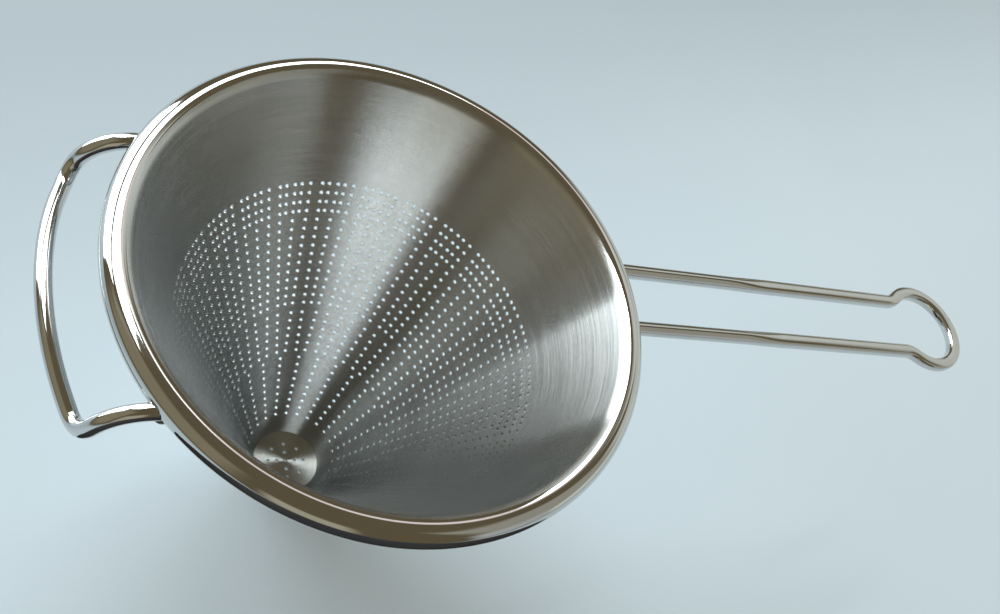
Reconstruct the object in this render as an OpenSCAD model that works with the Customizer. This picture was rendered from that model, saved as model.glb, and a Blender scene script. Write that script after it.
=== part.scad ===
// Chinois: a one-piece conical strainer of perforated sheet with a rolled rim, a perforated disc
// set into its tip, a long rod handle bent into a hanging eye and a rod helper handle opposite it.
// The axis of the cone is Z, the long handle points along +X, and the tip stands on z = 0.

/* [Cone] */
// Half of the cone's angle at its tip
half_angle = 24.5; // [20:0.5:30]
// Thickness of the sheet
wall = 0.9; // [0.7:0.1:1.2]
// Diameter over the outside of the rolled rim
rim_d = 197.8; // [185:0.2:215]
// Diameter of the round roll of the rim
roll_d = 10.9; // [9:0.1:12]
// How far round the roll the sheet goes
roll_turn = 305; // [280:5:320]

/* [Perforation] */
// Diameter of one hole
hole_d = 1.7; // [1.2:0.1:2]
// Number of fan-shaped sectors round the cone
sectors = 24; // [20:1:24]
// Distance from one row to the next along the slope
row_pitch = 4.15; // [3.9:0.05:4.4]
// Number of rows in a sector
rows = 30; // [20:1:30]
// Rows drilled here: 5 is every fifth one
row_step = 5; // [4:1:8]
// Blank band between the rolled rim and the first row, along the slope
blank_band = 44; // [40:1:50]
// Distance of a sector's outer columns from its edge
column_margin = 2.55; // [2.2:0.05:2.8]

/* [Tip disc] */
// Diameter of the disc's inner face
disc_d = 30.4; // [28:0.2:34]
// Thickness of the disc
disc_t = 1; // [0.8:0.1:1.4]
// Diameter of the inner ring of four holes
inner_ring_d = 8.4; // [7.6:0.2:10]
// Diameter of the outer ring of eight holes
outer_ring_d = 17; // [15:0.5:20]

/* [Rods] */
// Diameter of both handles' rod
rod_d = 5.8; // [5:0.1:6.4]
// Diameter of the weld under each rod end
weld_d = 5.6; // [5:0.1:6.4]

/* [Long handle] */
// Distance from the middle of the rim's roll to the centre of the hanging eye, along the handle
handle_length = 177; // [150:1:220]
// Distance between the centres of the two legs
leg_spacing = 26.4; // [24:0.2:30]
// Height of the legs' start below the middle of the roll
leg_drop = 2; // [1:0.1:2.4]
// Slope of the handle below the horizontal
handle_slope = 3.2; // [2:0.2:6]
// Diameter over the outside of the hanging eye
eye_d = 44.6; // [42:0.2:52]
// Radius of the reverse bend that leads each leg into the eye
neck_r = 12; // [8:1:14]
// Thickness where the rod is pressed flat
flat_t = 4.5; // [4:0.1:5]
// Width where the rod is pressed flat
flat_w = 6.2; // [5.8:0.1:6.6]
// Distance from the middle of the roll at which the pressing starts
flat_start = 58; // [45:1:80]
// Length over which the round rod becomes flat
flat_run = 25; // [15:1:40]

/* [Helper handle] */
// Distance from the centre of the handle to each branch
branch_y = 50.7; // [48:0.1:54]
// Distance from the middle of the roll to the middle of the grip
grip_reach = 20.4; // [19:0.1:24]
// Height of the branches' start below the middle of the roll
branch_drop = 1.9; // [1:0.1:2.4]
// Distance from the middle of the roll to the point where a branch starts to arch
arch_start = 4.4; // [4:0.1:5]
// Radius of the branches' downward arch
arch_r = 21.2; // [20:0.1:22]
// Drop from the branches' start to the ends of the grip
grip_drop = 18.1; // [17:0.1:20]
// Rise of the grip from its ends to its middle
grip_rise = 4.4; // [3:0.1:6]
// How far the grip bows outward
grip_bow = 6.4; // [4:0.2:8]
// Half of the grip's length between its two corners
grip_half = 41.3; // [38:0.1:43]

/* [Hidden] */

roll_r = roll_d / 2;
rod_r = rod_d / 2;
// The sloping face is measured from the point where its lines would meet, below the tip.
apex_depth = disc_d / 2 / tan(half_angle) - disc_t;
// The roll's centre lies one roll radius outside the cone's inner face.
roll_x = rim_d / 2 - roll_r;
roll_z = (roll_x * cos(half_angle) - roll_r) / sin(half_angle) - apex_depth;
tangent_angle = 180 - half_angle;
tangent_slope = (roll_z + apex_depth + roll_r * sin(half_angle)) / cos(half_angle);
first_row = tangent_slope - blank_band;
// Extra distance along the slope between the last row of three holes and the first row of two.
band_gap = 1;
// Middle of a weld bead: outward from the middle of the roll, and down from the rod's centre line.
weld_out = 0.65 * roll_r;
weld_down = 0.9 * rod_r;
// A branch of the helper handle already arches down a little over its weld, by this angle on average.
branch_weld_tilt = 1.5;
steel = [0.74, 0.75, 0.76];
weld_steel = [0.62, 0.61, 0.58];

function inner_r(z) = (z + apex_depth) * tan(half_angle);
function outer_r(z) = inner_r(z) + wall / cos(half_angle);
function arc(x, y, r, from, to, steps) =
    [for (k = [0:steps]) let (a = from + (to - from) * k / steps) [x + r * cos(a), y + r * sin(a)]];
function unit(v) = v / norm(v);

// Section of the sheet: up the inner face, round the outside of the roll and back inside it.
module sheet_section() {
    end_angle = tangent_angle - roll_turn;
    steps = 36;
    polygon(concat(
        [[outer_r(0), 0], [inner_r(0), 0]],
        arc(roll_x, roll_z, roll_r, tangent_angle, end_angle, steps),
        arc(roll_x, roll_z, roll_r - wall, end_angle, tangent_angle, steps)));
}

// Number of holes side by side in row i, and their places across the sector from 0 to 1.
function columns(i) =
    i < 4 ? [0, 0.222, 0.5, 0.721, 1] :
    i < 15 ? [0, 0.5, 1] :
    i < 21 ? [0, 1] :
    [0.5];
function row_slope(i) = first_row - row_pitch * i - (i < 15 ? 0 : band_gap);
// Angle from a sector's middle to its outer column, which runs parallel to the sector's edge.
function column_angle(s) = 180 / sectors - column_margin / (s * sin(half_angle)) * 180 / PI;

module hole(s, a) {
    rotate([0, 0, a])
        translate([s * sin(half_angle), 0, s * cos(half_angle) - apex_depth])
            rotate([0, 90 + half_angle, 0])
                translate([0, 0, -2 * wall])
                    cylinder(d = hole_d, h = 4 * wall, $fn = 24);
}

module sector_holes() {
    for (i = [0:row_step:rows - 1])
        for (c = columns(i))
            hole(row_slope(i), column_angle(row_slope(i)) * (2 * c - 1));
}

module cone_body() color(steel)
    difference() {
        rotate_extrude($fn = 192) sheet_section();
        for (k = [0:sectors - 1])
            rotate([0, 0, 360 / sectors * k]) sector_holes();
    }

// The disc's edge is tapered to lie against the inside of the cone.
module tip_disc() color(steel)
    difference() {
        cylinder(h = disc_t, r1 = inner_r(0), r2 = inner_r(disc_t), $fn = 96);
        disc_hole(0, 0);
        for (k = [0:3]) disc_hole(inner_ring_d / 2, 90 * k);
        for (k = [0:7]) disc_hole(outer_ring_d / 2, 45 * k);
    }

module disc_hole(r, a) {
    rotate([0, 0, a])
        translate([r, 0, -disc_t])
            cylinder(d = hole_d, h = 3 * disc_t, $fn = 24);
}

// A rod along the points p. Across the direction ref its half thickness is limited to press[i][0],
// and its half width is press[i][1].
module swept_rod(p, ref, press) {
    sides = 24;
    n = len(p);
    points = [for (i = [0:n - 1])
        let (t = unit(p[min(i + 1, n - 1)] - p[max(i - 1, 0)]), u = unit(cross(t, ref)), v = cross(u, t))
        for (j = [0:sides - 1])
            let (a = 360 / sides * (j + 0.5), h = press[i][0])
            p[i] + u * press[i][1] * cos(a) + v * max(-h, min(h, rod_r * sin(a)))];
    walls = [for (i = [0:n - 2]) for (j = [0:sides - 1])
        let (a = i * sides + j, b = i * sides + (j + 1) % sides)
        each [[a, b, b + sides], [a, b + sides, a + sides]]];
    ends = [[for (j = [sides - 1:-1:0]) j], [for (j = [0:sides - 1]) (n - 1) * sides + j]];
    polyhedron(points, concat(walls, ends), convexity = 8);
}

// The round roll of the rim as a solid ring, to cut what is welded to its outside.
module roll_filled() {
    rotate_extrude($fn = 192) translate([roll_x, roll_z]) circle(r = roll_r, $fn = 48);
}

// The long handle lies in one sloping plane, in which u runs outward from the middle of the roll.
leg_y = leg_spacing / 2;
leg_root_u = sqrt(pow(roll_x, 2) - pow(leg_y, 2)) - roll_x;
leg_start_u = leg_root_u + 0.3 * roll_r;
eye_r = (eye_d - flat_w) / 2;
neck_u = handle_length - sqrt(pow(eye_r + neck_r, 2) - pow(leg_y + neck_r, 2));
neck_turn = acos((leg_y + neck_r) / (eye_r + neck_r));

module in_handle_plane() {
    translate([roll_x, 0, roll_z - leg_drop]) rotate([0, handle_slope, 0]) children();
}

// Points of one leg from the roll to the eye.
function leg_path() = concat(
    [[leg_start_u, leg_y]],
    [for (k = [0:6]) [flat_start + flat_run * k / 6, leg_y]],
    arc(neck_u, leg_y + neck_r, neck_r, -90, -90 + neck_turn, 5));
function mirrored(p) = [for (i = [len(p) - 1:-1:0]) [p[i][0], -p[i][1]]];
function eye_path() =
    let (a = 90 + neck_turn, all = arc(handle_length, 0, eye_r, a, -a, 34))
    [for (i = [1:len(all) - 2]) all[i]];
// Half thickness and half width at a distance u along the handle: a smooth step from round to flat.
function pressing(u) =
    let (t = max(0, min(1, (u - flat_start) / flat_run)), step = t * t * (3 - 2 * t))
    [rod_r + (flat_t / 2 - rod_r) * step, rod_r + (flat_w / 2 - rod_r) * step];

module long_handle() color(steel)
    difference() {
        in_handle_plane() {
            path = concat(leg_path(), eye_path(), mirrored(leg_path()));
            swept_rod([for (q = path) [q[0], q[1], 0]], [0, 0, 1], [for (q = path) pressing(q[0])]);
        }
        roll_filled();
    }

// Each branch of the helper handle starts on the outside of the roll, arches down,
// turns a corner and becomes the grip, which bows outward and upward.
branch_root_x = sqrt(pow(roll_x, 2) - pow(branch_y, 2));
branch_z = roll_z - branch_drop;
arch_x = branch_root_x + arch_start;
arch_turn = 60;
corner_reach = 6;
grip_sag = norm([grip_bow, grip_rise]);
grip_r = (grip_half * grip_half + grip_sag * grip_sag) / (2 * grip_sag);
grip_turn = asin(grip_half / grip_r);
grip_out = [-grip_bow, 0, grip_rise] / grip_sag;
grip_middle = [-roll_x - grip_reach, 0, branch_z - grip_drop + grip_rise];

function bezier(a, b, c, d, t) =
    a * pow(1 - t, 3) + 3 * b * t * pow(1 - t, 2) + 3 * c * t * t * (1 - t) + d * pow(t, 3);
function arch_point(a) = [-arch_x - arch_r * sin(a), branch_y, branch_z - arch_r * (1 - cos(a))];
function grip_point(a) = grip_middle + [0, grip_r * sin(a), 0] - grip_out * grip_r * (1 - cos(a));
// Points of half the handle, from the roll to the middle of the grip.
function half_grip() =
    let (
        arch_end = arch_point(arch_turn),
        arch_dir = [-cos(arch_turn), 0, -sin(arch_turn)],
        grip_end = grip_point(grip_turn),
        grip_dir = [0, -cos(grip_turn), 0] + grip_out * sin(grip_turn))
    concat(
        [[-branch_root_x, branch_y, branch_z]],
        [for (k = [0:8]) arch_point(arch_turn * k / 8)],
        [for (k = [1:8]) bezier(arch_end, arch_end + arch_dir * corner_reach,
            grip_end - grip_dir * corner_reach, grip_end, k / 8)],
        [for (k = [1:9]) grip_point(grip_turn * (1 - k / 9))]);

module helper_handle() color(steel)
    difference() {
        half = half_grip();
        path = concat(half, [for (i = [len(half) - 2:-1:0]) [half[i][0], -half[i][1], half[i][2]]]);
        swept_rod(path, [1, 0, -1] / sqrt(2), [for (q = path) [rod_r, rod_r]]);
        roll_filled();
    }

// Weld metal in the corner under a rod end, cut to the faces of the rod and of the roll.
// The rod lies along X, tilted down by an angle, and the roll's middle is at x = 0.
module weld(tilt = 0) {
    difference() {
        translate([weld_out, 0, -weld_down]) sphere(d = weld_d, $fn = 48);
        translate([weld_out, 0, 0]) rotate([0, 90 + tilt, 0])
            cylinder(d = rod_d, h = 4 * roll_r, center = true, $fn = 64);
    }
}

module long_handle_welds() color(weld_steel)
    difference() {
        for (side = [-1, 1])
            in_handle_plane() translate([leg_root_u, side * leg_y, 0]) weld();
        roll_filled();
    }

module helper_handle_welds() color(weld_steel)
    difference() {
        for (side = [-1, 1])
            translate([-branch_root_x, side * branch_y, branch_z]) rotate([0, 0, 180])
                weld(branch_weld_tilt);
        roll_filled();
    }

cone_body();
tip_disc();
long_handle();
helper_handle();
long_handle_welds();
helper_handle_welds();
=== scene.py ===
import math

import bpy
from mathutils import Matrix, Vector
from mathutils.geometry import delaunay_2d_cdt

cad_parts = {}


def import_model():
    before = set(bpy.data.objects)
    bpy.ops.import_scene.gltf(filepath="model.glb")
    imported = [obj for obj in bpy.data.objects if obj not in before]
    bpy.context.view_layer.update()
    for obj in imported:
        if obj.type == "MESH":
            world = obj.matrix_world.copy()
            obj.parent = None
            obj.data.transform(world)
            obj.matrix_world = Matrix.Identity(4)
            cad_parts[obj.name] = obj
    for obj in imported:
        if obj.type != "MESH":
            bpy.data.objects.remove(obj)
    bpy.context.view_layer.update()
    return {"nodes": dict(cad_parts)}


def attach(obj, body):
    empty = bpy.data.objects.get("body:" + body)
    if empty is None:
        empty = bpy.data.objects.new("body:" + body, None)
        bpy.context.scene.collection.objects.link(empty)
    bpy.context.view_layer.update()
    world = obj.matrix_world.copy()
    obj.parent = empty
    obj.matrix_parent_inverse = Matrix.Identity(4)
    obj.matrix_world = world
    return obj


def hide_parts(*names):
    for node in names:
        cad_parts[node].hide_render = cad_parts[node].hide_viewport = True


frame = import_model()

# Sizes in millimetres, the same as in the part's source. Meshes are scaled to metres as they are made.
MM = 0.001
HALF_ANGLE = math.radians(24.5)
SIN, COS = math.sin(HALF_ANGLE), math.cos(HALF_ANGLE)
WALL = 0.9
RIM_D = 197.8
ROLL_R = 10.9 / 2
ROLL_TURN = math.radians(305)
HOLE_R = 1.7 / 2
SECTORS = 24
ROW_PITCH = 4.15
ROWS = 30
BAND_GAP = 1.0
BLANK_BAND = 44.0
COLUMN_MARGIN = 2.55
DISC_D = 30.4
DISC_T = 1.0
ROD_R = 5.8 / 2
HANDLE_LENGTH = 177.0
LEG_Y = 26.4 / 2
LEG_DROP = 2.0
HANDLE_SLOPE = math.radians(3.2)
EYE_D = 44.6
NECK_R = 12.0
FLAT_T, FLAT_W = 4.5, 6.2
FLAT_START, FLAT_RUN = 58.0, 25.0
EDGE_SOFTNESS = 1.75
BRANCH_Y = 50.7
GRIP_REACH = 20.4
BRANCH_DROP = 1.9
ARCH_START = 4.4
ARCH_R = 21.2
GRIP_DROP = 18.1
GRIP_RISE = 4.4
GRIP_BOW = 6.4
GRIP_HALF = 41.3

APEX_DEPTH = DISC_D / 2 / math.tan(HALF_ANGLE) - DISC_T
ROLL_X = RIM_D / 2 - ROLL_R
ROLL_Z = (ROLL_X * COS - ROLL_R) / SIN - APEX_DEPTH
TANGENT_ANGLE = math.pi - HALF_ANGLE
TANGENT_SLOPE = (ROLL_Z + APEX_DEPTH + ROLL_R * SIN) / COS
FIRST_ROW = TANGENT_SLOPE - BLANK_BAND

# How finely the sheet and the rods are meshed.
SECTOR_STEPS = 10
HOLE_SIDES = 16
ROLL_STEPS = 48
ROLL_INNER_STEPS = 24
ROD_SIDES = 40
# The inside is brushed up to this many roll steps past the cone, and the rest of the roll is polished.
BRUSHED_ROLL_STEPS = 6


# ---- Meshes

def make_object(name, verts, faces, normals, materials, slots=None):
    """A mesh object riding on the body, from points in mm, faces and one normal per face corner."""
    mesh = bpy.data.meshes.new(name)
    mesh.from_pydata([(x * MM, y * MM, z * MM) for x, y, z in verts], [], faces)
    for material in materials:
        mesh.materials.append(material)
    mesh.polygons.foreach_set("use_smooth", [True] * len(faces))
    if slots:
        mesh.polygons.foreach_set("material_index", slots)
    mesh.update()
    mesh.normals_split_custom_set(normals)
    obj = bpy.data.objects.new(name, mesh)
    bpy.context.scene.collection.objects.link(obj)
    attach(obj, "root")
    return obj


class Surface:
    """Collects the points, faces, corner normals and material slots of one closed mesh."""

    def __init__(self):
        self.verts, self.faces, self.normals, self.slots = [], [], [], []

    def add_points(self, points):
        start = len(self.verts)
        self.verts.extend(points)
        return start

    def add_face(self, corners, normals, slot=0):
        self.faces.append(corners)
        self.normals.extend(normals)
        self.slots.append(slot)


# ---- The cone with its holes and rolled rim

def columns(i):
    if i < 4:
        return [0, 0.279, 0.5, 0.778, 1]
    if i < 15:
        return [0, 0.5, 1]
    return [0, 1] if i < 21 else [0.5]


def row_slope(i):
    return FIRST_ROW - ROW_PITCH * i - (0 if i < 15 else BAND_GAP)


def sector_holes():
    """The place of every hole of one sector: slope and angle from the sector's middle."""
    for i in range(ROWS):
        s = row_slope(i)
        edge = math.pi / SECTORS - COLUMN_MARGIN / (s * SIN)
        for c in columns(i):
            yield s, edge * (2 * c - 1)


def sheet_point(s, angle, depth=0.0):
    """A point of the cone at slope s, depth mm behind its inner face."""
    r, z = s * SIN + depth * COS, s * COS - APEX_DEPTH - depth * SIN
    return (r * math.cos(angle), r * math.sin(angle), z)


def inward(angle):
    return (-COS * math.cos(angle), -COS * math.sin(angle), SIN)


def flat_sector(low, high):
    """One sector of the perforated band, cut into triangles in the flat, as (slope, angle) points and faces.
    Also gives the rings of the holes."""
    half = math.pi / SECTORS
    across = (low + high) / 2 * SIN
    places, rings, edges = [], [], []
    mids = [low] + [row_slope(i) - ROW_PITCH / 2 for i in range(ROWS - 2, -1, -1)] + [high]
    for s in mids:
        places += [(s, half * (2 * j / SECTOR_STEPS - 1)) for j in range(SECTOR_STEPS + 1)]
    holes = list(sector_holes())
    for s, angle in holes:
        first = len(places)
        ring = list(range(first, first + HOLE_SIDES))
        for k in range(HOLE_SIDES):
            turn = 2 * math.pi * k / HOLE_SIDES
            ds, da = HOLE_R * math.cos(turn), HOLE_R * math.sin(turn)
            places.append((s + ds, angle + da / ((s + ds) * SIN)))
        rings.append(ring)
        edges += [(ring[k], ring[(k + 1) % HOLE_SIDES]) for k in range(HOLE_SIDES)]
    flat = [Vector((s, a * across)) for s, a in places]
    out_points, _, out_faces, origins, _, _ = delaunay_2d_cdt(flat, edges, [], 0, 1e-6, True)
    if len(out_points) != len(places):
        raise RuntimeError("two points of the sheet fell together")
    back = [o[0] for o in origins]
    ring_of = {v: n for n, ring in enumerate(rings) for v in ring}
    faces = []
    for tri in out_faces:
        tri = [back[v] for v in tri]
        # A triangle whose corners all lie on one ring is the inside of that hole.
        owners = {ring_of.get(v) for v in tri}
        if len(owners) == 1 and None not in owners:
            continue
        (s0, a0), (s1, a1), (s2, a2) = (places[v] for v in tri)
        if (s1 - s0) * (a2 - a0) - (s2 - s0) * (a1 - a0) < 0:
            tri.reverse()
        faces.append(tri)
    return places, faces, rings, len(mids)


def cone_body():
    mesh = Surface()
    seg = SECTORS * SECTOR_STEPS
    low, high = row_slope(ROWS - 1) - 4.0, FIRST_ROW + 4.0
    places, faces, rings, rows = flat_sector(low, high)
    grid = rows * (SECTOR_STEPS + 1)

    # Points on the edge between two sectors are made once.
    def sheet_points(depth):
        table = []
        shared = {}
        for k in range(SECTORS):
            turn = 2 * math.pi * k / SECTORS
            ids = []
            for v, (s, a) in enumerate(places):
                if v < grid:
                    row, j = divmod(v, SECTOR_STEPS + 1)
                    key = (row, (k * SECTOR_STEPS + j) % seg)
                    if key not in shared:
                        shared[key] = mesh.add_points([sheet_point(s, turn + a, depth)])
                    ids.append(shared[key])
                else:
                    ids.append(mesh.add_points([sheet_point(s, turn + a, depth)]))
            table.append(ids)
        return table, shared

    inner, inner_shared = sheet_points(0.0)
    outer, outer_shared = sheet_points(WALL)
    for k in range(SECTORS):
        turn = 2 * math.pi * k / SECTORS
        for tri in faces:
            ups = [inward(turn + places[v][1]) for v in tri]
            downs = [(-x, -y, -z) for x, y, z in ups]
            mesh.add_face([inner[k][v] for v in tri], ups)
            mesh.add_face([outer[k][v] for v in reversed(tri)], downs[::-1])
        for ring in rings:
            # The first point of a ring lies straight above the hole's centre along the slope.
            angle = turn + places[ring[0]][1]
            along = (SIN * math.cos(angle), SIN * math.sin(angle), COS)
            across = (-math.sin(angle), math.cos(angle), 0.0)
            side = []
            for j in range(HOLE_SIDES):
                t = 2 * math.pi * j / HOLE_SIDES
                side.append(tuple(-math.cos(t) * p - math.sin(t) * q for p, q in zip(along, across)))
            for j in range(HOLE_SIDES):
                m = (j + 1) % HOLE_SIDES
                a, b = ring[j], ring[m]
                mesh.add_face([inner[k][a], inner[k][b], outer[k][b], outer[k][a]],
                              [side[j], side[m], side[m], side[j]])

    def ring_ids(shared, row):
        return [shared[(row, j)] for j in range(seg)]

    # The section outside the perforated band, as rings of (radius, height, normal before, normal after).
    angles = [2 * math.pi * (j / SECTOR_STEPS - 0.5) / SECTORS for j in range(seg)]

    def ring_at(r, z):
        start = mesh.add_points([(r * math.cos(a), r * math.sin(a), z) for a in angles])
        return list(range(start, start + seg))

    def band(ring_a, ring_b, normal_a, normal_b, slot=0):
        """Quads between two rings; the normals are (radial, up) pairs. ring_b comes next along the section."""
        for j in range(seg):
            m = (j + 1) % seg
            a, b = angles[j], angles[m]
            n = [
                (normal_a[0] * math.cos(a), normal_a[0] * math.sin(a), normal_a[1]),
                (normal_b[0] * math.cos(a), normal_b[0] * math.sin(a), normal_b[1]),
                (normal_b[0] * math.cos(b), normal_b[0] * math.sin(b), normal_b[1]),
                (normal_a[0] * math.cos(b), normal_a[0] * math.sin(b), normal_a[1]),
            ]
            mesh.add_face([ring_a[j], ring_b[j], ring_b[m], ring_a[m]], n, slot)

    def cone_rz(s, depth):
        return s * SIN + depth * COS, s * COS - APEX_DEPTH - depth * SIN

    face_in, face_out, face_down = (-COS, SIN), (COS, -SIN), (0.0, -1.0)
    start_in = APEX_DEPTH / COS
    start_out = (APEX_DEPTH + WALL * SIN) / COS
    # Inside, from the tip to the band of holes, and from there to the roll.
    tip_in = ring_at(*cone_rz(start_in, 0))
    band(tip_in, ring_ids(inner_shared, 0), face_in, face_in)
    last = ring_ids(inner_shared, rows - 1)
    blank_steps = 8
    for k in range(1, blank_steps + 1):
        s = high + (TANGENT_SLOPE - high) * k / blank_steps
        ring = ring_at(*cone_rz(s, 0))
        band(last, ring, face_in, face_in)
        last = ring
    # Round the roll, over its end and back inside it.
    end_angle = TANGENT_ANGLE - ROLL_TURN
    for k in range(1, ROLL_STEPS + 1):
        t0 = TANGENT_ANGLE - ROLL_TURN * (k - 1) / ROLL_STEPS
        t1 = TANGENT_ANGLE - ROLL_TURN * k / ROLL_STEPS
        ring = ring_at(ROLL_X + ROLL_R * math.cos(t1), ROLL_Z + ROLL_R * math.sin(t1))
        slot = 0 if k <= BRUSHED_ROLL_STEPS else 1
        band(last, ring, (math.cos(t0), math.sin(t0)), (math.cos(t1), math.sin(t1)), slot)
        last = ring
    inner_r = ROLL_R - WALL
    ring = ring_at(ROLL_X + inner_r * math.cos(end_angle), ROLL_Z + inner_r * math.sin(end_angle))
    cap = (math.sin(end_angle), -math.cos(end_angle))
    band(last, ring, cap, cap, 1)
    last = ring
    for k in range(ROLL_INNER_STEPS - 1, -1, -1):
        t0 = TANGENT_ANGLE - ROLL_TURN * (k + 1) / ROLL_INNER_STEPS
        t1 = TANGENT_ANGLE - ROLL_TURN * k / ROLL_INNER_STEPS
        ring = ring_at(ROLL_X + inner_r * math.cos(t1), ROLL_Z + inner_r * math.sin(t1))
        band(last, ring, (-math.cos(t0), -math.sin(t0)), (-math.cos(t1), -math.sin(t1)), 0)
        last = ring
    # Down the outside to the tip.
    for k in range(blank_steps - 1, 0, -1):
        s = high + (TANGENT_SLOPE - high) * k / blank_steps
        ring = ring_at(*cone_rz(s, WALL))
        band(last, ring, face_out, face_out)
        last = ring
    band(last, ring_ids(outer_shared, rows - 1), face_out, face_out)
    tip_out = ring_at(*cone_rz(start_out, WALL))
    band(ring_ids(outer_shared, 0), tip_out, face_out, face_out)
    band(tip_out, tip_in, face_down, face_down)
    return mesh


# ---- Rods

def unit(v):
    return v.normalized()


def arc(x, y, r, start, end, steps):
    return [Vector((x + r * math.cos(a), y + r * math.sin(a)))
            for a in (start + (end - start) * k / steps for k in range(steps + 1))]


def leg_path():
    """Half of the long handle in its own plane: one leg, its neck and half of the eye."""
    eye_r = (EYE_D - FLAT_W) / 2
    reach = math.sqrt((eye_r + NECK_R) ** 2 - (LEG_Y + NECK_R) ** 2)
    turn = math.acos((LEG_Y + NECK_R) / (eye_r + NECK_R))
    root = math.sqrt(ROLL_X ** 2 - LEG_Y ** 2) - ROLL_X
    path = [Vector((root + ROLL_R * 0.7, LEG_Y)), Vector((root + ROLL_R + 4, LEG_Y))]
    path += [Vector((FLAT_START * k / 4, LEG_Y)) for k in (1, 2, 3)]
    path += [Vector((FLAT_START + FLAT_RUN * k / 10, LEG_Y)) for k in range(11)]
    neck_u = HANDLE_LENGTH - reach
    path += [Vector((u, LEG_Y)) for u in (95.0, 110.0, 125.0) if u < neck_u - 2]
    path += arc(neck_u, LEG_Y + NECK_R, NECK_R, -math.pi / 2, -math.pi / 2 + turn, 12)
    start = math.pi / 2 + turn
    path += arc(HANDLE_LENGTH, 0, eye_r, start, 0, 40)[1:]
    return path


def pressing(u):
    """Half thickness and half width of the rod at distance u along the handle."""
    t = max(0.0, min(1.0, (u - FLAT_START) / FLAT_RUN))
    step = t * t * (3 - 2 * t)
    return ROD_R + (FLAT_T / 2 - ROD_R) * step, ROD_R + (FLAT_W / 2 - ROD_R) * step


def roll_distance(p):
    """Distance of a point outside the surface of the rim's roll."""
    return math.hypot(math.hypot(p.x, p.y) - ROLL_X, p.z - ROLL_Z) - ROLL_R


def onto_roll(p, direction):
    """Moves a point along a direction until it lies just under the roll's surface."""
    embed = 0.3
    near, far = 0.0, 12.0
    for _ in range(40):
        mid = (near + far) / 2
        if roll_distance(p + direction * mid) + embed > 0:
            near = mid
        else:
            far = mid
    return p + direction * near


def swept_rod(path, ref, press):
    """A closed rod along 3-D points. press gives its half thickness along ref and its half width at each."""
    mesh = Surface()
    n = len(path)
    tangents = [unit(path[min(i + 1, n - 1)] - path[max(i - 1, 0)]) for i in range(n)]
    rings = []
    for i, p in enumerate(path):
        t = tangents[i]
        u = unit(t.cross(ref))
        v = u.cross(t)
        half_t, half_w = press[i]
        pressed = (ROD_R - half_t) / (ROD_R - FLAT_T / 2)
        points = []
        for j in range(ROD_SIDES):
            a = 2 * math.pi * (j + 0.5) / ROD_SIDES
            # A pressed face meets the round side in a soft edge.
            edge = math.tanh(EDGE_SOFTNESS * math.sin(a)) / math.tanh(EDGE_SOFTNESS)
            height = math.sin(a) + (edge - math.sin(a)) * pressed
            points.append(p + u * (half_w * math.cos(a)) + v * (half_t * height))
        rings.append(points)
    # The ends are shaped to the roll.
    rings[0] = [onto_roll(q, -tangents[0]) for q in rings[1]]
    rings[-1] = [onto_roll(q, tangents[-1]) for q in rings[-2]]
    ids = [mesh.add_points([tuple(q) for q in ring]) for ring in rings]

    def corner_normal(i, j):
        j %= ROD_SIDES
        ring = rings[i]
        around = ring[(j + 1) % ROD_SIDES] - ring[j - 1]
        along = rings[min(i + 1, n - 1)][j] - rings[max(i - 1, 0)][j]
        if i in (0, n - 1):
            k = 1 if i == 0 else n - 2
            around = rings[k][(j + 1) % ROD_SIDES] - rings[k][j - 1]
        return tuple(unit(around.cross(along)))

    normal = [[corner_normal(i, j) for j in range(ROD_SIDES)] for i in range(n)]
    for i in range(n - 1):
        for j in range(ROD_SIDES):
            m = (j + 1) % ROD_SIDES
            corners = [ids[i] + j, ids[i] + m, ids[i + 1] + m, ids[i + 1] + j]
            mesh.add_face(corners, [normal[i][j], normal[i][m], normal[i + 1][m], normal[i + 1][j]])
    for end, flip in ((0, True), (n - 1, False)):
        centre = sum(rings[end], Vector()) / ROD_SIDES
        c = mesh.add_points([tuple(centre)])
        out = tuple(-tangents[0]) if end == 0 else tuple(tangents[-1])
        for j in range(ROD_SIDES):
            m = (j + 1) % ROD_SIDES
            corners = [c, ids[end] + m, ids[end] + j] if flip else [c, ids[end] + j, ids[end] + m]
            mesh.add_face(corners, [out] * 3)
    return mesh


def long_handle():
    half = leg_path()
    path = half + [Vector((q.x, -q.y)) for q in half[-2::-1]]
    turn = Matrix.Rotation(HANDLE_SLOPE, 3, "Y")
    root = Vector((ROLL_X, 0, ROLL_Z - LEG_DROP))
    points = [root + turn @ Vector((q.x, q.y, 0)) for q in path]
    return swept_rod(points, turn @ Vector((0, 0, 1)), [pressing(q.x) for q in path])


def bezier(a, b, c, d, t):
    return a * (1 - t) ** 3 + b * 3 * t * (1 - t) ** 2 + c * 3 * t * t * (1 - t) + d * t ** 3


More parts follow.
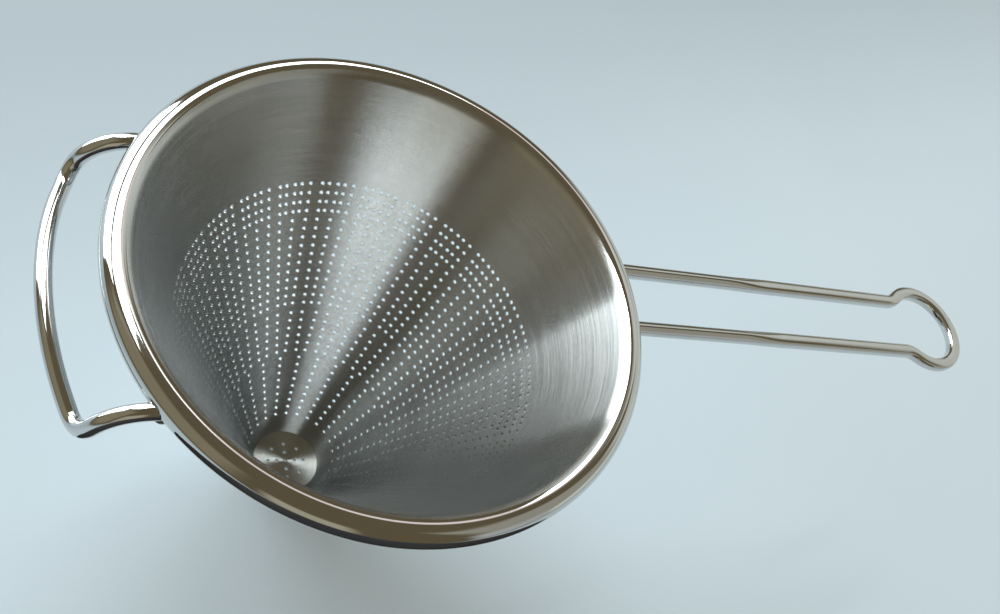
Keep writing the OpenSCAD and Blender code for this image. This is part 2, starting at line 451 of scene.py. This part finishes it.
def helper_handle():
    root_x = math.sqrt(ROLL_X ** 2 - BRANCH_Y ** 2)
    branch_z = ROLL_Z - BRANCH_DROP
    arch_x = root_x + ARCH_START
    arch_turn = math.radians(60)
    corner_reach = 6.0
    sag = math.hypot(GRIP_BOW, GRIP_RISE)
    grip_r = (GRIP_HALF ** 2 + sag ** 2) / (2 * sag)
    grip_turn = math.asin(GRIP_HALF / grip_r)
    out = Vector((-GRIP_BOW, 0, GRIP_RISE)) / sag
    middle = Vector((-ROLL_X - GRIP_REACH, 0, branch_z - GRIP_DROP + GRIP_RISE))

    def arch_point(a):
        return Vector((-arch_x - ARCH_R * math.sin(a), BRANCH_Y, branch_z - ARCH_R * (1 - math.cos(a))))

    def grip_point(a):
        return middle + Vector((0, grip_r * math.sin(a), 0)) - out * grip_r * (1 - math.cos(a))

    arch_end, grip_end = arch_point(arch_turn), grip_point(grip_turn)
    arch_dir = Vector((-math.cos(arch_turn), 0, -math.sin(arch_turn)))
    grip_dir = Vector((0, -math.cos(grip_turn), 0)) + out * math.sin(grip_turn)
    half = [Vector((-root_x - 3, BRANCH_Y, branch_z))]
    half += [arch_point(arch_turn * k / 20) for k in range(21)]
    half += [bezier(arch_end, arch_end + arch_dir * corner_reach,
                    grip_end - grip_dir * corner_reach, grip_end, k / 24) for k in range(1, 25)]
    half += [grip_point(grip_turn * (1 - k / 24)) for k in range(1, 25)]
    path = half + [Vector((q.x, -q.y, q.z)) for q in half[-2::-1]]
    return swept_rod(path, Vector((1, 0, -1)).normalized(), [(ROD_R, ROD_R)] * len(path))


# ---- Materials

def new_material(name):
    material = bpy.data.materials.new(name)
    material.use_nodes = True
    nodes, links = material.node_tree.nodes, material.node_tree.links
    nodes.clear()
    out = nodes.new("ShaderNodeOutputMaterial")
    shader = nodes.new("ShaderNodeBsdfPrincipled")
    links.new(shader.outputs[0], out.inputs[0])
    return material, nodes, links, shader


def math_node(nodes, links, op, a, b=None):
    node = nodes.new("ShaderNodeMath")
    node.operation = op
    for socket, value in zip(node.inputs, (a, b)):
        if value is None:
            continue
        if isinstance(value, (int, float)):
            socket.default_value = value
        else:
            links.new(value, socket)
    return node.outputs[0]


def length(nodes, links, x, y):
    return math_node(nodes, links, "POWER", math_node(
        nodes, links, "ADD", math_node(nodes, links, "MULTIPLY", x, x),
        math_node(nodes, links, "MULTIPLY", y, y)), 0.5)


def noise(nodes, links, vector, scale, detail=3.0, rough=0.55):
    node = nodes.new("ShaderNodeTexNoise")
    node.inputs["Scale"].default_value = scale
    node.inputs["Detail"].default_value = detail
    node.inputs["Roughness"].default_value = rough
    links.new(vector, node.inputs["Vector"])
    return node.outputs[0]


def remap(nodes, links, value, low, high):
    node = nodes.new("ShaderNodeMapRange")
    links.new(value, node.inputs["Value"])
    node.inputs["From Min"].default_value = 0.3
    node.inputs["From Max"].default_value = 0.7
    node.inputs["To Min"].default_value = low
    node.inputs["To Max"].default_value = high
    return node.outputs[0]


def steel(name, light, dark, rough_low, rough_high, streak, anisotropic=0.0, bump=0.0, around=None, reach=5.0,
          width=0.0004, edge=(1.0, 1.0, 1.0)):
    """Stainless steel. around is "height" or "radius", by which the brush lines round the Z axis are spaced."""
    material, nodes, links, shader = new_material(name)
    shader.inputs["Metallic"].default_value = 1.0
    shader.inputs["Specular Tint"].default_value = (*edge, 1)
    coords = nodes.new("ShaderNodeTexCoord").outputs["Object"]
    if around:
        parts = nodes.new("ShaderNodeSeparateXYZ")
        links.new(coords, parts.inputs[0])
        x, y, z = parts.outputs
        r = length(nodes, links, x, y)
        join = nodes.new("ShaderNodeCombineXYZ")
        links.new(math_node(nodes, links, "MULTIPLY", math_node(nodes, links, "DIVIDE", x, r), reach), join.inputs[0])
        links.new(math_node(nodes, links, "MULTIPLY", math_node(nodes, links, "DIVIDE", y, r), reach), join.inputs[1])
        across = z if around == "height" else r
        links.new(math_node(nodes, links, "MULTIPLY", across, 1 / width), join.inputs[2])
        lines = noise(nodes, links, join.outputs[0], 1.0, 4.0, 0.65)
        tangent = nodes.new("ShaderNodeTangent")
        tangent.direction_type = "RADIAL"
        tangent.axis = "Z"
        links.new(tangent.outputs[0], shader.inputs["Tangent"])
        shader.inputs["Anisotropic"].default_value = anisotropic
        shader.inputs["Anisotropic Rotation"].default_value = 0.25
    else:
        lines = noise(nodes, links, coords, 1 / width, 3.0, 0.6)
    cloud = noise(nodes, links, coords, 28.0, 4.0, 0.6)
    tone = math_node(nodes, links, "ADD", math_node(nodes, links, "MULTIPLY", lines, streak),
                     math_node(nodes, links, "MULTIPLY", cloud, 1 - streak))
    mix = nodes.new("ShaderNodeMix")
    mix.data_type = "RGBA"
    links.new(remap(nodes, links, tone, 0.0, 1.0), mix.inputs["Factor"])
    mix.inputs["A"].default_value = (*dark, 1)
    mix.inputs["B"].default_value = (*light, 1)
    links.new(mix.outputs["Result"], shader.inputs["Base Color"])
    links.new(remap(nodes, links, tone, rough_low, rough_high), shader.inputs["Roughness"])
    if bump:
        node = nodes.new("ShaderNodeBump")
        node.inputs["Strength"].default_value = 1.0
        node.inputs["Distance"].default_value = bump
        links.new(lines, node.inputs["Height"])
        links.new(node.outputs[0], shader.inputs["Normal"])
    return material


def smooth_step(nodes, links, value, low, high):
    node = nodes.new("ShaderNodeMapRange")
    node.interpolation_type = "SMOOTHSTEP"
    links.new(value, node.inputs["Value"])
    node.inputs["From Min"].default_value = low
    node.inputs["From Max"].default_value = high
    return node.outputs[0]


def set_material(obj, material):
    obj.data.materials.clear()
    obj.data.materials.append(material)


brushed = steel("brushed_cone", (0.63, 0.635, 0.63), (0.52, 0.525, 0.52), 0.22, 0.265, 0.7,
                anisotropic=1.0, bump=5e-5, around="height", reach=1.3, width=0.0009,
                edge=(0.50, 0.62, 0.68))
polished = steel("polished_rim", (0.69, 0.69, 0.68), (0.64, 0.64, 0.63), 0.03, 0.07, 0.2, width=0.02)
rod_steel = steel("polished_rod", (0.70, 0.70, 0.69), (0.62, 0.62, 0.61), 0.06, 0.12, 0.3, width=0.01)
turned = steel("turned_disc", (0.68, 0.68, 0.65), (0.54, 0.54, 0.51), 0.26, 0.34, 0.7,
               anisotropic=0.97, bump=1.5e-5, around="radius", reach=0.8, width=0.0005)
weld_metal = steel("ground_weld", (0.62, 0.60, 0.56), (0.42, 0.40, 0.37), 0.32, 0.5, 0.5, bump=2e-5, width=0.001)

surface = cone_body()
cone = make_object("perforated_cone", surface.verts, surface.faces, surface.normals, [brushed, polished],
                   surface.slots)
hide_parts("cone_body")

surface = long_handle()
handle = make_object("long_rod_handle", surface.verts, surface.faces, surface.normals, [rod_steel])
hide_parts("long_handle")

surface = helper_handle()
helper = make_object("helper_rod_handle", surface.verts, surface.faces, surface.normals, [rod_steel])
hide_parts("helper_handle")

set_material(frame["nodes"]["tip_disc"], turned)
for node in ("long_handle_welds", "helper_handle_welds"):
    set_material(frame["nodes"][node], weld_metal)


# ---- Floor, light and camera

FLOOR_LIFT = 0.17
# Painted shade on the table: how much darker its far left and its edges are made, and over what distances.
TABLE_LEVEL, FAR_LEFT_PAINTED_SHADE = 0.96, 0.32
FADE_SLANT, FADE_RUN = 0.35, (-0.02, 0.33)
EDGE_PAINTED_SHADE, EDGE_RUN = 0.6, (0.8, 1.8)
ROOM = (0.135, 0.11, 0.065)
# Lighter patches of the room: middle azimuth, half width, lowest and highest elevation and softness in
# degrees, and colour.
PATCHES = [
    (5, 39, -20, 15, 4, (0.66, 0.71, 0.66)),
    (14, 18, 14, 34, 4, (0.60, 0.62, 0.56)),
    (34, 9, 26, 48, 4, (0.66, 0.69, 0.64)),
    (51, 9, 38, 50, 3, (0.95, 0.86, 0.82)),
    (250, 14, -4, 28, 5, (0.44, 0.41, 0.31)),
    (167, 15, 28, 55, 6, (0.40, 0.38, 0.31)),
    (334, 25, 12, 58, 6, (0.36, 0.35, 0.29)),
    (316, 12, -6, 20, 4, (0.46, 0.48, 0.48)),
    (190, 32, 2, 62, 8, (0.27, 0.235, 0.155)),
]


def floor():
    """A pale table. Rays from the camera and mirror images see it a little lighter than it is lit."""
    material, nodes, links, shader = new_material("pale_table")
    coords = nodes.new("ShaderNodeTexCoord").outputs["Object"]
    shader.inputs["Roughness"].default_value = 0.5
    shader.inputs["Specular IOR Level"].default_value = 0.15
    # Painted shade: the table's colour and its glow get darker towards its far left, and towards its edges, where the
    # lamps are near.
    parts = nodes.new("ShaderNodeSeparateXYZ")
    links.new(coords, parts.inputs[0])
    away = math_node(nodes, links, "SUBTRACT", parts.outputs[1],
                     math_node(nodes, links, "MULTIPLY", parts.outputs[0], FADE_SLANT))
    level = math_node(nodes, links, "SUBTRACT", TABLE_LEVEL, math_node(
        nodes, links, "MULTIPLY", smooth_step(nodes, links, away, *FADE_RUN), FAR_LEFT_PAINTED_SHADE))
    reach = length(nodes, links, parts.outputs[0], parts.outputs[1])
    level = math_node(nodes, links, "MULTIPLY", level, math_node(nodes, links, "SUBTRACT", 1.0, math_node(
        nodes, links, "MULTIPLY", smooth_step(nodes, links, reach, *EDGE_RUN), EDGE_PAINTED_SHADE)))
    mix = nodes.new("ShaderNodeMix")
    mix.data_type = "RGBA"
    links.new(remap(nodes, links, noise(nodes, links, coords, 3.0), 0.0, 1.0), mix.inputs["Factor"])
    mix.inputs["A"].default_value = (0.60, 0.70, 0.78, 1)
    mix.inputs["B"].default_value = (0.63, 0.73, 0.81, 1)
    scale = nodes.new("ShaderNodeVectorMath")
    scale.operation = "SCALE"
    links.new(mix.outputs["Result"], scale.inputs[0])
    links.new(level, scale.inputs["Scale"])
    links.new(scale.outputs[0], shader.inputs["Base Color"])
    path = nodes.new("ShaderNodeLightPath")
    seen = math_node(nodes, links, "MAXIMUM", math_node(
        nodes, links, "MAXIMUM", path.outputs["Is Camera Ray"], path.outputs["Is Glossy Ray"]),
        path.outputs["Is Transmission Ray"])
    shader.inputs["Emission Color"].default_value = (0.86, 0.96, 1.0, 1)
    lift = math_node(nodes, links, "MULTIPLY", level, FLOOR_LIFT)
    links.new(math_node(nodes, links, "MULTIPLY", seen, lift), shader.inputs["Emission Strength"])
    half = 1.6
    mesh = bpy.data.meshes.new("floor")
    mesh.from_pydata([(-half, -half, 0), (half, -half, 0), (half, half, 0), (-half, half, 0)], [], [(0, 1, 2, 3)])
    mesh.materials.append(material)
    obj = bpy.data.objects.new("floor", mesh)
    obj.location.z = -0.0002
    bpy.context.scene.collection.objects.link(obj)


def painted_shade_board():
    """A dark board on the floor, out of the camera's sight, that the rim's near edge mirrors: a painted reflection of
    shade, in place of the shaded table beneath the rim.
    """
    material, nodes, links, shader = new_material("painted_shade_sheet")
    coords = nodes.new("ShaderNodeTexCoord").outputs["Object"]
    shader.inputs["Roughness"].default_value = 0.9
    mix = nodes.new("ShaderNodeMix")
    mix.data_type = "RGBA"
    links.new(remap(nodes, links, noise(nodes, links, coords, 8.0), 0.0, 1.0), mix.inputs["Factor"])
    mix.inputs["A"].default_value = (0.02, 0.02, 0.025, 1)
    mix.inputs["B"].default_value = (0.05, 0.045, 0.045, 1)
    links.new(mix.outputs["Result"], shader.inputs["Base Color"])
    first, last, steps = 200, 326, 18
    foot_r, top_r, top = 0.13, 0.30, 0.15
    points = []
    for k in range(steps + 1):
        a = math.radians(first + (last - first) * k / steps)
        # Its top slopes down to the foot at both ends.
        share = math.sin(math.pi * k / steps) ** 0.5
        r, z = foot_r + (top_r - foot_r) * share, top * share
        points += [(foot_r * math.cos(a), foot_r * math.sin(a), 0.001), (r * math.cos(a), r * math.sin(a), z + 0.001)]
    mesh = bpy.data.meshes.new("painted_shade_board")
    mesh.from_pydata(points, [], [(2 * k, 2 * k + 1, 2 * k + 3, 2 * k + 2) for k in range(steps)])
    mesh.materials.append(material)
    obj = bpy.data.objects.new("painted_shade_board", mesh)
    obj.visible_camera = obj.visible_shadow = obj.visible_diffuse = False
    bpy.context.scene.collection.objects.link(obj)


def area_light(name, azimuth, elevation, roll, distance, size, radiance, colour):
    """A rectangular lamp that looks at the strainer's rim, of this radiance. Angles are in degrees."""
    light = bpy.data.lights.new(name, "AREA")
    light.shape = "RECTANGLE"
    light.size, light.size_y = size
    light.energy = radiance * size[0] * size[1] * math.pi
    light.color = colour
    obj = bpy.data.objects.new(name, light)
    a, e = math.radians(azimuth), math.radians(elevation)
    out = Vector((math.cos(a) * math.cos(e), math.sin(a) * math.cos(e), math.sin(e)))
    obj.location = Vector((0, 0, 0.16)) + out * distance
    obj.rotation_mode = "QUATERNION"
    turn = Matrix.Rotation(math.radians(roll), 3, "Z").to_quaternion()
    obj.rotation_quaternion = (-out).to_track_quat("-Z", "Y") @ turn
    bpy.context.scene.collection.objects.link(obj)


def world():
    """A room: brown and dim all round, with soft lighter patches."""
    made = bpy.data.worlds.new("room")
    made.use_nodes = True
    nodes, links = made.node_tree.nodes, made.node_tree.links
    nodes.clear()
    out = nodes.new("ShaderNodeOutputWorld")
    back = nodes.new("ShaderNodeBackground")
    links.new(back.outputs[0], out.inputs[0])
    coords = nodes.new("ShaderNodeTexCoord").outputs["Generated"]
    parts = nodes.new("ShaderNodeSeparateXYZ")
    links.new(coords, parts.inputs[0])
    x, y, z = parts.outputs
    level = math_node(nodes, links, "MAXIMUM", length(nodes, links, x, y), 1e-4)
    colour = None
    for azimuth, half, low, high, soft, tone in PATCHES:
        a = math.radians(azimuth)
        toward = math_node(nodes, links, "ADD", math_node(nodes, links, "MULTIPLY", x, math.cos(a)),
                           math_node(nodes, links, "MULTIPLY", y, math.sin(a)))
        toward = math_node(nodes, links, "DIVIDE", toward, level)
        side = smooth_step(nodes, links, toward, math.cos(math.radians(min(half + soft, 179.9))),
                           math.cos(math.radians(max(half - soft, 0))))
        above = smooth_step(nodes, links, z, math.sin(math.radians(low - soft)), math.sin(math.radians(low + soft)))
        under = smooth_step(nodes, links, z, math.sin(math.radians(high - soft)),
                            math.sin(math.radians(min(high + soft, 90))))
        weight = math_node(nodes, links, "MULTIPLY", math_node(nodes, links, "MULTIPLY", side, above),
                           math_node(nodes, links, "SUBTRACT", 1.0, under))
        mix = nodes.new("ShaderNodeMix")
        mix.data_type = "RGBA"
        links.new(weight, mix.inputs["Factor"])
        if colour is None:
            mix.inputs["A"].default_value = (*ROOM, 1)
        else:
            links.new(colour, mix.inputs["A"])
        mix.inputs["B"].default_value = (*tone, 1)
        colour = mix.outputs["Result"]
    links.new(colour, back.inputs[0])
    bpy.context.scene.world = made


def camera():
    right = Vector((0.90362067, -0.18156923, 0.38794625))
    down = Vector((0.00648034, -0.89981173, -0.43623027))
    forward = Vector((0.42828458, 0.39670072, -0.81191185))
    data = bpy.data.cameras.new("camera")
    data.sensor_width = 36.0
    data.lens = 37.53
    data.shift_x, data.shift_y = 0.0289, 0.1040
    data.clip_start, data.clip_end = 0.01, 50.0
    obj = bpy.data.objects.new("camera", data)
    turn = Matrix((right, -down, -forward)).transposed()
    obj.matrix_world = Matrix.Translation((-0.132580, -0.191464, 0.447660)) @ turn.to_4x4()
    bpy.context.scene.collection.objects.link(obj)
    bpy.context.scene.camera = obj


floor()
painted_shade_board()
world()
area_light("lower_window", 124, 17, 10, 2.6, (2.1, 2.0), 4.4, (0.88, 0.97, 1.0))
area_light("upper_window", 96, 52, 19, 2.6, (2.45, 0.95), 4.6, (0.88, 0.97, 1.0))
area_light("window_top", 101, 62, 8, 2.6, (1.3, 0.14), 14.0, (0.88, 0.97, 1.0))
camera()

bpy.context.scene.view_settings.view_transform = "Standard"
